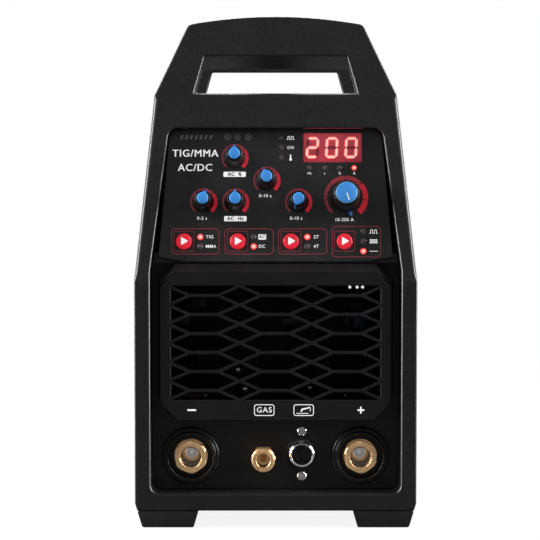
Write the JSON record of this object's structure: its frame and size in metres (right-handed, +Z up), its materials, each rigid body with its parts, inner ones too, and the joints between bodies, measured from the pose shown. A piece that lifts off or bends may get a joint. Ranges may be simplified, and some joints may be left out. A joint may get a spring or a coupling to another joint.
{
  "type": "tig welding machine",
  "caption": "Portable TIG welding machine: black case with a carrying handle, honeycomb grille, leaning control panel with knobs, buttons and display, weld and gas sockets, rear fan.",
  "frame": {"origin": "on the floor under the middle of the machine", "axes": "+X to the right of someone facing the controls, the front faces -Y, +Z up"},
  "size_m": [0.18, 0.3517, 0.3261],
  "materials": {
    "bezel_plastic": "satin",
    "trim_plastic": "satin",
    "knob_plastic": "satin",
    "knob_cap_plastic": "satin",
    "button_plastic": "gloss",
    "display_lens": "gloss",
    "cover_paint": "satin powder coat",
    "grip_rubber": "matte",
    "zinc_steel": "satin",
    "chrome_shell": "polished",
    "socket_brass": "satin",
    "busbar_copper": "satin",
    "heatsink_aluminium": "satin",
    "circuit_board": "satin",
    "ferrite_core": "matte"
  },
  "bodies": {
    "root": {"base_tray": "zinc_steel", "cable_gland": "trim_plastic", "control_board": "circuit_board", "control_panel": "bezel_plastic", "display_window": "display_lens", "earth_stud": "socket_brass", "fan_frame": "trim_plastic", "fan_guard": "zinc_steel", "front_bezel": "bezel_plastic", "front_grille": "bezel_plastic", "front_left_foot": "bezel_plastic", "front_plate": "bezel_plastic", "front_right_foot": "bezel_plastic", "gas_inlet": "socket_brass", "gas_outlet": "socket_brass", "gas_outlet_nut": "socket_brass", "handle_grip": "grip_rubber", "inverter_heatsink": "heatsink_aluminium", "minus_busbar": "busbar_copper", "minus_socket_bolt": "zinc_steel", "minus_socket_brass": "socket_brass", "minus_socket_insulator": "trim_plastic", "output_choke": "busbar_copper", "plus_busbar": "busbar_copper", "plus_socket_bolt": "zinc_steel", "plus_socket_brass": "socket_brass", "plus_socket_insulator": "trim_plastic", "power_board": "circuit_board", "rear_bezel": "bezel_plastic", "rear_left_foot": "bezel_plastic", "rear_panel": "cover_paint", "rear_plate": "cover_paint", "rear_right_foot": "bezel_plastic", "rectifier_heatsink": "heatsink_aluminium", "solenoid_valve": "ferrite_core", "switch_housing": "trim_plastic", "top_cover": "cover_paint", "torch_socket_insert": "trim_plastic", "torch_socket_lower_screw": "zinc_steel", "torch_socket_shell": "chrome_shell", "torch_socket_upper_screw": "zinc_steel", "transformer": "ferrite_core"},
    "balance_knob_body": {"balance_knob": "knob_plastic", "balance_knob_cap": "knob_cap_plastic"},
    "slope_knob_body": {"slope_knob": "knob_plastic", "slope_knob_cap": "knob_cap_plastic"},
    "preflow_knob_body": {"preflow_knob": "knob_plastic", "preflow_knob_cap": "knob_cap_plastic"},
    "frequency_knob_body": {"frequency_knob": "knob_plastic", "frequency_knob_cap": "knob_cap_plastic"},
    "postflow_knob_body": {"postflow_knob": "knob_plastic", "postflow_knob_cap": "knob_cap_plastic"},
    "current_knob_body": {"current_knob": "knob_plastic", "current_knob_cap": "knob_cap_plastic"},
    "process_button_body": {"process_button": "button_plastic"},
    "polarity_button_body": {"polarity_button": "button_plastic"},
    "trigger_button_body": {"trigger_button": "button_plastic"},
    "pulse_button_body": {"pulse_button": "button_plastic"},
    "rocker_body": {"switch_rocker": "button_plastic"},
    "fan_rotor_body": {"fan_rotor": "trim_plastic"}
  },
  "joints": [
    {"name": "balance_turn", "type": "hinge", "parent": "root", "child": "balance_knob_body", "pos_m": [-0.0263, -0.14673, 0.2358], "axis": [0, -0.9816, 0.1908], "range_deg": [-155, 155]},
    {"name": "slope_turn", "type": "hinge", "parent": "root", "child": "slope_knob_body", "pos_m": [-0.0058, -0.14953, 0.2214], "axis": [0, -0.9816, 0.1908], "range_deg": [-175, 135]},
    {"name": "preflow_turn", "type": "hinge", "parent": "root", "child": "preflow_knob_body", "pos_m": [-0.0463, -0.15221, 0.2076], "axis": [0, -0.9816, 0.1908], "range_deg": [-135, 175]},
    {"name": "frequency_turn", "type": "hinge", "parent": "root", "child": "frequency_knob_body", "pos_m": [-0.0258, -0.15221, 0.2076], "axis": [0, -0.9816, 0.1908], "range_deg": [-155, 155]},
    {"name": "postflow_turn", "type": "hinge", "parent": "root", "child": "postflow_knob_body", "pos_m": [0.0145, -0.15221, 0.2076], "axis": [0, -0.9816, 0.1908], "range_deg": [-310, 0]},
    {"name": "current_turn", "type": "hinge", "parent": "root", "child": "current_knob_body", "pos_m": [0.0448, -0.15166, 0.2104], "axis": [0, -0.9816, 0.1908], "range_deg": [-2, 328]},
    {"name": "process_press", "type": "slide", "parent": "root", "child": "process_button_body", "axis": [0, 0.9816, -0.1908], "range_m": [0, 0.001], "stiffness_N_per_m": 400, "springref_m": -0.0005},
    {"name": "polarity_press", "type": "slide", "parent": "root", "child": "polarity_button_body", "axis": [0, 0.9816, -0.1908], "range_m": [0, 0.001], "stiffness_N_per_m": 400, "springref_m": -0.0005},
    {"name": "trigger_press", "type": "slide", "parent": "root", "child": "trigger_button_body", "axis": [0, 0.9816, -0.1908], "range_m": [0, 0.001], "stiffness_N_per_m": 400, "springref_m": -0.0005},
    {"name": "pulse_press", "type": "slide", "parent": "root", "child": "pulse_button_body", "axis": [0, 0.9816, -0.1908], "range_m": [0, 0.001], "stiffness_N_per_m": 400, "springref_m": -0.0005},
    {"name": "power_switch", "type": "hinge", "parent": "root", "child": "rocker_body", "pos_m": [0.036, 0.15086, 0.205], "axis": [1, 0, 0], "range_deg": [0, 14.5]},
    {"name": "fan_spin", "type": "hinge", "parent": "root", "child": "fan_rotor_body", "pos_m": [0, 0.134, 0.098], "axis": [0, 1, 0], "continuous": true}
  ]
}
